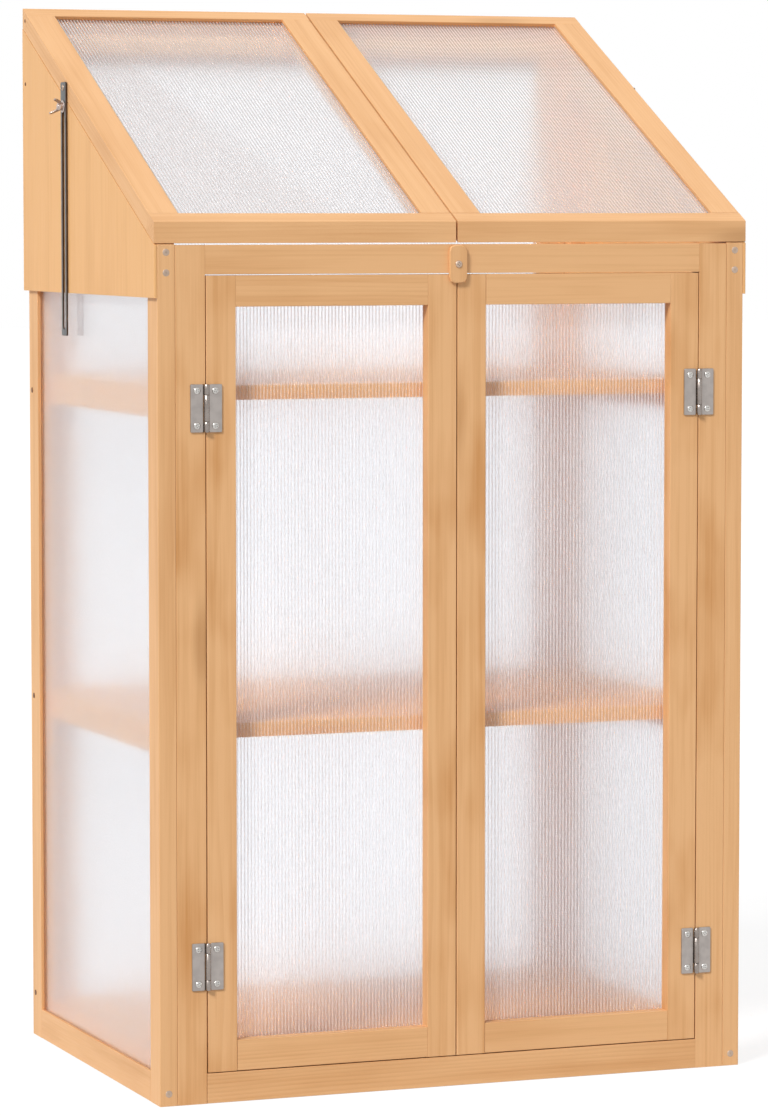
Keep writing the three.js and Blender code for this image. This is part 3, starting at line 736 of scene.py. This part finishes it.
def make_stay_bar(name, side):
    """The slotted bar as rings of points, outer outline against slot outline, with its pivot screw."""
    low, high = (corner / MM - Vector((0, FRONT_Y, 0)) - STAY_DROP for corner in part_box(name))
    depth = (low.y + high.y) / 2
    clamp_height = middle_of(name.replace("bar", "clamp")).z
    slot_low, slot_high = low.z + SLOT_MARGIN, clamp_height + BOLT_PLAY

    def outer(inset):
        reach = STAY_WIDTH / 2 - inset
        return rounded_corners((depth - reach, low.z + inset), (depth + reach, high.z - inset),
                               STAY_CORNER - inset)

    def inner(inset):
        reach = SLOT_WIDTH / 2 + inset
        return rounded_corners((depth - reach, slot_low - inset), (depth + reach, slot_high + inset),
                               reach - SLOT_CORNER_SHY)

    levels = [(STAY_RIM, 0), (0, STAY_RIM), (0, STAY_THICKNESS - STAY_RIM), (STAY_RIM, STAY_THICKNESS)]
    rings = [(outer(inset), out) for inset, out in levels]
    rings += [(inner(inset), out) for inset, out in levels[::-1]]
    build = bmesh.new()
    rows = [[build.verts.new((side * (STAY_X + out), y, z)) for y, z in points] for points, out in rings]
    for level, (first, second) in enumerate(zip(rows, rows[1:] + rows[:1])):
        for step in range(len(first)):
            following = (step + 1) % len(first)
            face = build.faces.new([first[step], first[following], second[following], second[step]])
            # Only the bar's outer face takes its own zinc; its rims take the darker zinc, painted shade on
            # its edges.
            face.material_index = BAR if level == len(levels) - 1 else BAR_EDGE
    pivot = basis(side * Y, Z, side * X, (side * (STAY_X + STAY_THICKNESS), depth, high.z - STAY_TOP_MARGIN))
    add_lathe(build, PIVOT_PROFILE, pivot, 28, PIVOT_SCREW)
    turned = pivot @ Matrix.Rotation(PIVOT_TURN, 4, "Z")
    cross_recess(build, turned, PIVOT_RECESS_RADIUS, PIVOT_RECESS_TOP, PIVOT_RECESS)
    metals = [bar_zinc, dull_steel, recess_painted_shade, zinc_painted_shade]
    new_piece(f"{name}_steel", mesh_from(build), metals, body_of[name], [name])


def raised(profile, by):
    return [(radius, height + by) for radius, height in profile]


def make_clamp(name, side):
    """Bolt, washer and wing nut, with the bolt's round head inside the cabinet."""
    middle = middle_of(name)
    washer_from = STAY_X + STAY_THICKNESS + WASHER_PLAY
    nut_from = washer_from + WASHER_THICKNESS
    bolt = raised(BOLT_START_PROFILE, INNER_FACE) + raised(BOLT_END_PROFILE, washer_from + BOLT_OVERRUN)
    out = basis(side * Y, Z, side * X, (0, middle.y, middle.z))
    build = bmesh.new()
    add_lathe(build, raised(BOLT_HEAD_PROFILE, INNER_FACE), out, 28)
    add_lathe(build, bolt, out, 20)
    add_lathe(build, raised(WASHER_PROFILE, washer_from), out, 28)
    add_lathe(build, raised(NUT_PROFILE, nut_from), out, 24)
    share = RIGHT_WING_SHARE if side > 0 else 1
    wing = [(radial, share * height) for radial, height in WING_SHAPE]
    turned = out @ Matrix.Rotation(WING_TURN, 4, "Z")
    for up in (1, -1):
        start = Matrix.Translation((up * -WING_THICKNESS / 2, 0, nut_from)) @ basis(up * Y, Z, up * X)
        add_extruded(build, wing, WING_THICKNESS, turned @ start, WING_EDGE)
    new_piece(f"{name}_steel", mesh_from(build), [nut_steel], body_of[name], [name])


for side_name, side_sign in SIDES.items():
    make_stay_bar(f"{side_name}_stay_bar", side_sign)
    make_clamp(f"{side_name}_stay_clamp", side_sign)


# Small screws in the faces of the posts, in the posts' sides and at the board's rear edge

SCREWS_SUNK = 0.1
FACE_SCREWS_X = 336.5
FACE_SCREWS_Z = (13.5, 905, 927)
SIDE_SCREWS_X, SIDE_SCREWS_Y = 346.6, 469.4
SIDE_SCREWS_Z = (50.5, 403, 762)
BOARD_SCREWS_X, BOARD_SCREWS_Y = 350.1, 478
BOARD_SCREWS_Z = (1118, 1191)
FACE_SCREW_SIZE, SIDE_SCREW_SIZE, BOARD_SCREW_SIZE = (3.9, 0.6), (3.2, 0.9), (2.2, 0.5)
POST_FIRST_TURN, POST_TURN_STEP = 0.4, 0.9
STEEL, BROWN = range(2)


def make_post_screws():
    """Each screw is turned a little further than the last."""
    spots = []
    for side in SIDES.values():
        for z in FACE_SCREWS_Z:
            at = (side * FACE_SCREWS_X, SCREWS_SUNK, z)
            spots.append((basis(X, Z, -Y, at), FACE_SCREW_SIZE, STEEL, STEEL))
        for z in SIDE_SCREWS_Z:
            at = (side * SIDE_SCREWS_X, SIDE_SCREWS_Y, z)
            spots.append((basis(side * Y, Z, side * X, at), SIDE_SCREW_SIZE, BROWN, STEEL))
        for z in BOARD_SCREWS_Z:
            at = (side * BOARD_SCREWS_X, BOARD_SCREWS_Y, z)
            spots.append((basis(side * Y, Z, side * X, at), BOARD_SCREW_SIZE, BROWN, BROWN))
    build = bmesh.new()
    for count, (matrix, size, head, cross) in enumerate(spots):
        add_screw(build, matrix, *size, POST_FIRST_TURN + POST_TURN_STEP * count, head, cross)
    new_piece("post_screws", mesh_from(build), [dull_steel, brown_steel], "cabinet", [])


make_post_screws()


# Camera, at the photograph's place

CAMERA_X, CAMERA_Y, CAMERA_Z = -1886.6, -4691.5, 977.1
CAMERA_YAW = math.radians(20.995)
CAMERA_PITCH = math.radians(4.389)
LENS_LENGTH = 148.18

camera_data = bpy.data.cameras.new("camera")
camera_data.lens = LENS_LENGTH
camera_data.sensor_width = 36
camera = bpy.data.objects.new("camera", camera_data)
bpy.context.scene.collection.objects.link(camera)
camera.location = place(CAMERA_X, CAMERA_Y, CAMERA_Z)
camera.rotation_euler = (math.pi / 2 - CAMERA_PITCH, 0, -CAMERA_YAW)
bpy.context.scene.camera = camera


# Light, floor and background

HORIZON_LIGHT = 0.23
ZENITH_LIGHT = 0.81
SUN_STRENGTH = 2.53
SUN_SOFTNESS = math.radians(14)
TO_SUN = Vector((-0.63, -0.46, 0.626))
FLOOR_REACH_M = 30
FLOOR_BELOW_M = 0.0005
FLOOR_GREY = 0.6
SEEN_FLOOR_GREY = 0.22
SEEN_FLOOR_GLOW = 0.82
WHITE = shaded(1, 1, 1)


def seen_share(tree):
    """1 for rays that show the background: from the camera, off gloss or through glass."""
    path = add_node(tree, "ShaderNodeLightPath").outputs
    first = math_node(tree, "MAXIMUM", path["Is Camera Ray"], path["Is Glossy Ray"])
    return math_node(tree, "MAXIMUM", first, path["Is Transmission Ray"])


def make_world():
    world = bpy.data.worlds.new("world")
    bpy.context.scene.world = world
    world.use_nodes = True
    tree = world.node_tree
    tree.nodes.clear()
    direction = add_node(tree, "ShaderNodeTexCoord").outputs["Generated"]
    height = add_node(tree, "ShaderNodeSeparateXYZ", {0: direction}).outputs["Z"]
    level = add_node(tree, "ShaderNodeMapRange", {
        "Value": height, "To Min": HORIZON_LIGHT, "To Max": ZENITH_LIGHT}).outputs[0]
    light = add_node(tree, "ShaderNodeBackground", {"Color": WHITE, "Strength": level}).outputs[0]
    white = add_node(tree, "ShaderNodeBackground", {"Color": WHITE, "Strength": 1.0}).outputs[0]
    both = add_node(tree, "ShaderNodeMixShader", {0: seen_share(tree), 1: light, 2: white}).outputs[0]
    add_node(tree, "ShaderNodeOutputWorld", {"Surface": both})


def make_floor():
    material, tree = new_material("floor")
    pale = add_node(tree, "ShaderNodeBsdfDiffuse", {"Color": shaded(*[FLOOR_GREY] * 3)}).outputs[0]
    faint = add_node(tree, "ShaderNodeBsdfDiffuse", {"Color": shaded(*[SEEN_FLOOR_GREY] * 3)}).outputs[0]
    glow = add_node(tree, "ShaderNodeEmission", {"Color": WHITE, "Strength": SEEN_FLOOR_GLOW}).outputs[0]
    seen = add_node(tree, "ShaderNodeAddShader", {0: faint, 1: glow}).outputs[0]
    show(tree, add_node(tree, "ShaderNodeMixShader", {0: seen_share(tree), 1: pale, 2: seen}).outputs[0])
    build = bmesh.new()
    bmesh.ops.create_grid(build, x_segments=1, y_segments=1, size=FLOOR_REACH_M)
    mesh = bpy.data.meshes.new("floor")
    build.to_mesh(mesh)
    build.free()
    mesh.materials.append(material)
    floor = bpy.data.objects.new("floor", mesh)
    floor.location.z = -FLOOR_BELOW_M
    bpy.context.scene.collection.objects.link(floor)


def make_sun():
    sun_data = bpy.data.lights.new("sun", "SUN")
    sun_data.energy = SUN_STRENGTH
    sun_data.angle = SUN_SOFTNESS
    sun = bpy.data.objects.new("sun", sun_data)
    bpy.context.scene.collection.objects.link(sun)
    sun.rotation_mode = "QUATERNION"
    sun.rotation_quaternion = TO_SUN.to_track_quat("Z", "Y")


make_world()
make_floor()
make_sun()
bpy.context.scene.view_settings.view_transform = "Standard"
bpy.context.scene.cycles.transparent_max_bounces = 48
bpy.context.scene.cycles.max_bounces = 32
bpy.context.scene.cycles.transmission_bounces = 28
